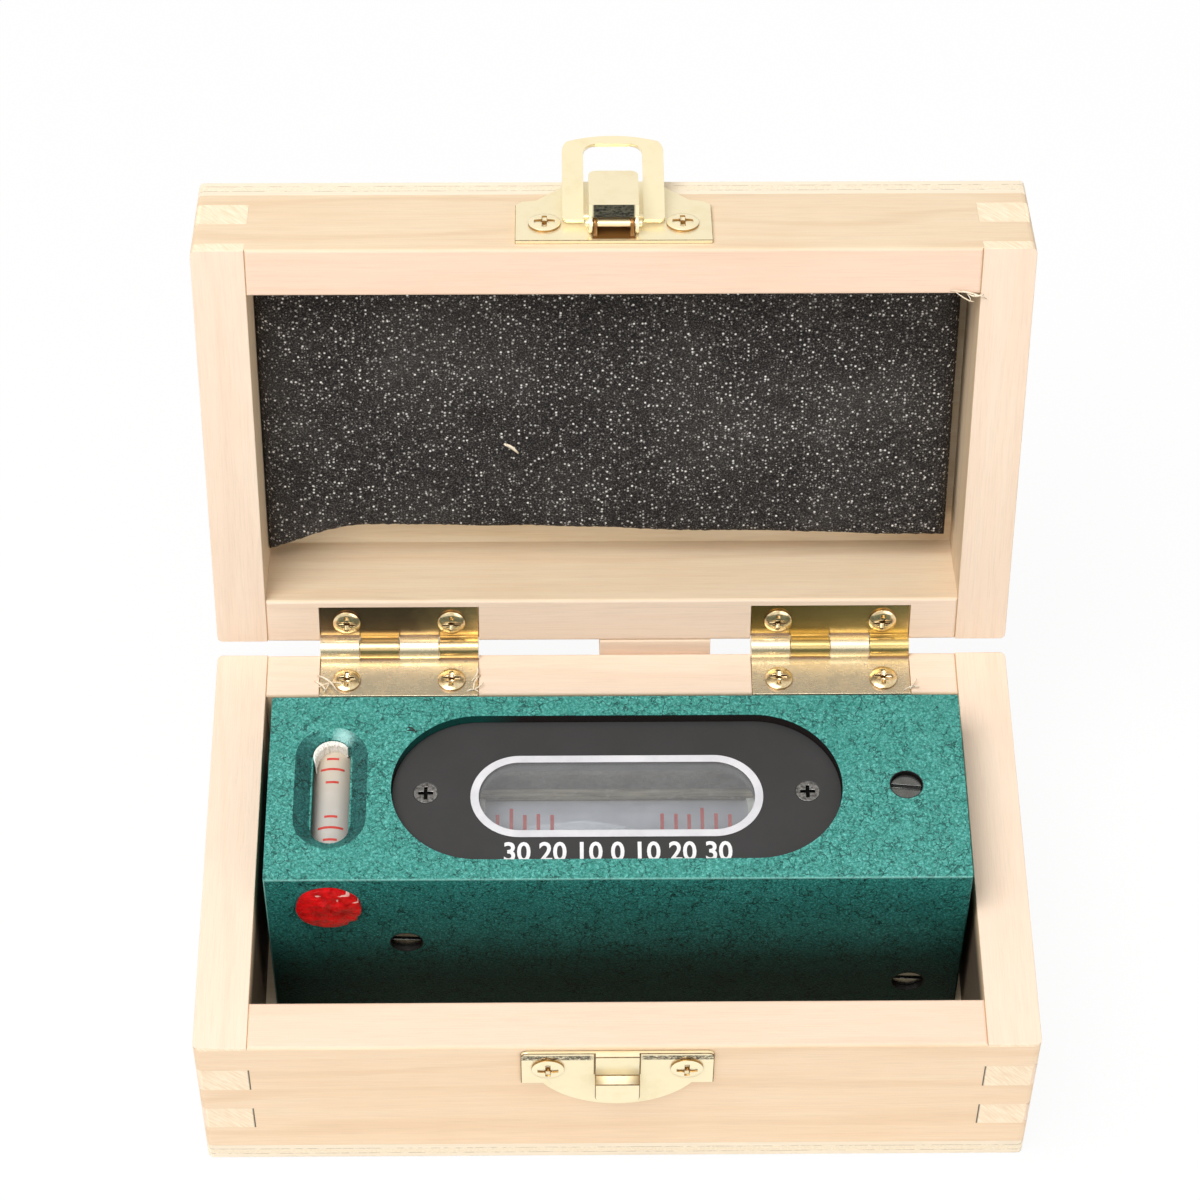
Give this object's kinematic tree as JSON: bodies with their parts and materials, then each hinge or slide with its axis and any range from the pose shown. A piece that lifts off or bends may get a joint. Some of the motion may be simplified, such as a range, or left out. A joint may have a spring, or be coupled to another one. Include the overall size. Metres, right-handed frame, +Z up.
{
  "type": "machine level in its wooden case",
  "caption": "Small block spirit level with a main vial, a cross vial and a grooved base, lying in a hinged wooden case with a foam-lined lid and a brass toggle latch.",
  "frame": {"origin": "middle of the underside of the case's tray", "axes": "+X along the level and the case, left to right as seen from the latch side; +Y from the latch side to the hinges; +Z up"},
  "size_m": [0.118, 0.1125, 0.1017],
  "materials": {
    "wood": "sanded bare wood",
    "plywood": "sanded bare plywood",
    "foam": "open-cell black foam",
    "hinge_brass": "polished",
    "latch_brass": "polished, pale",
    "green_paint": "wrinkle paint, teal green",
    "black_coating": "matt dark grey",
    "dark_steel": "oiled",
    "white_rim": "satin",
    "clear_glass": "clear",
    "vial_glass": "clear, ground ends",
    "vial_liquid": "clear liquid",
    "plaster": "cast plaster",
    "red_wax": "sealing wax",
    "bubble": "clear",
    "carrier_metal": "grey-brown, satin"
  },
  "bodies": {
    "case_tray": {"tray_front_wall": "wood", "tray_back_wall": "wood", "tray_left_wall": "wood", "tray_right_wall": "wood", "tray_bottom": "plywood", "tray_leaf_left": "hinge_brass", "tray_leaf_right": "hinge_brass", "hinge_pins": "hinge_brass", "tray_hinge_screws": "hinge_brass", "catch_plate": "latch_brass", "catch_screws": "latch_brass"},
    "lid": {"lid_front_wall": "wood", "lid_back_wall": "wood", "lid_left_wall": "wood", "lid_right_wall": "wood", "lid_top_panel": "plywood", "lid_foam_pad": "foam", "lid_stop_block": "wood", "lid_leaf_left": "hinge_brass", "lid_leaf_right": "hinge_brass", "lid_hinge_screws": "hinge_brass", "hasp_plate": "latch_brass", "hasp_screws": "latch_brass", "lever_pin": "latch_brass"},
    "latch_lever": {"latch_lever": "latch_brass"},
    "latch_loop": {"latch_loop": "latch_brass"},
    "level": {"level_body": "green_paint", "cover_plate": "black_coating", "cover_screws": "dark_steel", "window_bezel": "white_rim", "window_lens": "clear_glass", "pivot_screw": "dark_steel", "lock_screw": "dark_steel", "cross_vial_glass": "vial_glass", "cross_vial_liquid": "vial_liquid", "cross_vial_plaster": "plaster", "wax_seal": "red_wax"},
    "cross_bubble": {"cross_bubble": "bubble"},
    "vial_carrier": {"vial_carrier": "carrier_metal", "main_vial_glass": "vial_glass", "main_vial_liquid": "vial_liquid", "vial_end_plugs": "plaster"},
    "main_bubble": {"main_bubble": "bubble"},
    "adjusting_screw": {"adjusting_screw": "dark_steel", "adjusting_ring": "dark_steel"}
  },
  "joints": [
    {"name": "lid_hinge", "type": "hinge", "parent": "case_tray", "child": "lid", "pos_m": [0, 0.035, 0.03065], "axis": [1, 0, 0], "range_deg": [0, 105]},
    {"name": "lever_pivot", "type": "hinge", "parent": "lid", "child": "latch_lever", "pos_m": [0, 0.0574, 0.09862], "axis": [-1, 0, 0], "range_deg": [-120, 0]},
    {"name": "loop_pivot", "type": "hinge", "parent": "latch_lever", "child": "latch_loop", "pos_m": [0, 0.05993, 0.09722], "axis": [1, 0, 0], "range_deg": [0, 165]},
    {"name": "level_lift", "type": "slide", "parent": "case_tray", "child": "level", "axis": [0, 0, -1], "range_m": [-0.06, 0]},
    {"name": "adjusting_turn", "type": "hinge", "parent": "level", "child": "adjusting_screw", "pos_m": [0.0418, 0.004, 0.03], "axis": [0, 0, 1], "range_deg": [-360, 360]},
    {"name": "carrier_tilt", "type": "hinge", "parent": "level", "child": "vial_carrier", "pos_m": [-0.03, 0.004, 0.0225], "axis": [0, -1, 0], "range_deg": [-0.398, 0.398]},
    {"name": "main_bubble_run", "type": "slide", "parent": "vial_carrier", "child": "main_bubble", "axis": [1, 0, 0], "range_m": [-0.006, 0.006]},
    {"name": "cross_bubble_run", "type": "slide", "parent": "level", "child": "cross_bubble", "axis": [0, 1, 0], "range_m": [-0.0025, 0.0025]}
  ],
  "couplings": [
    {"joint": "adjusting_turn", "follows": "carrier_tilt", "ratio": -902.26}
  ]
}
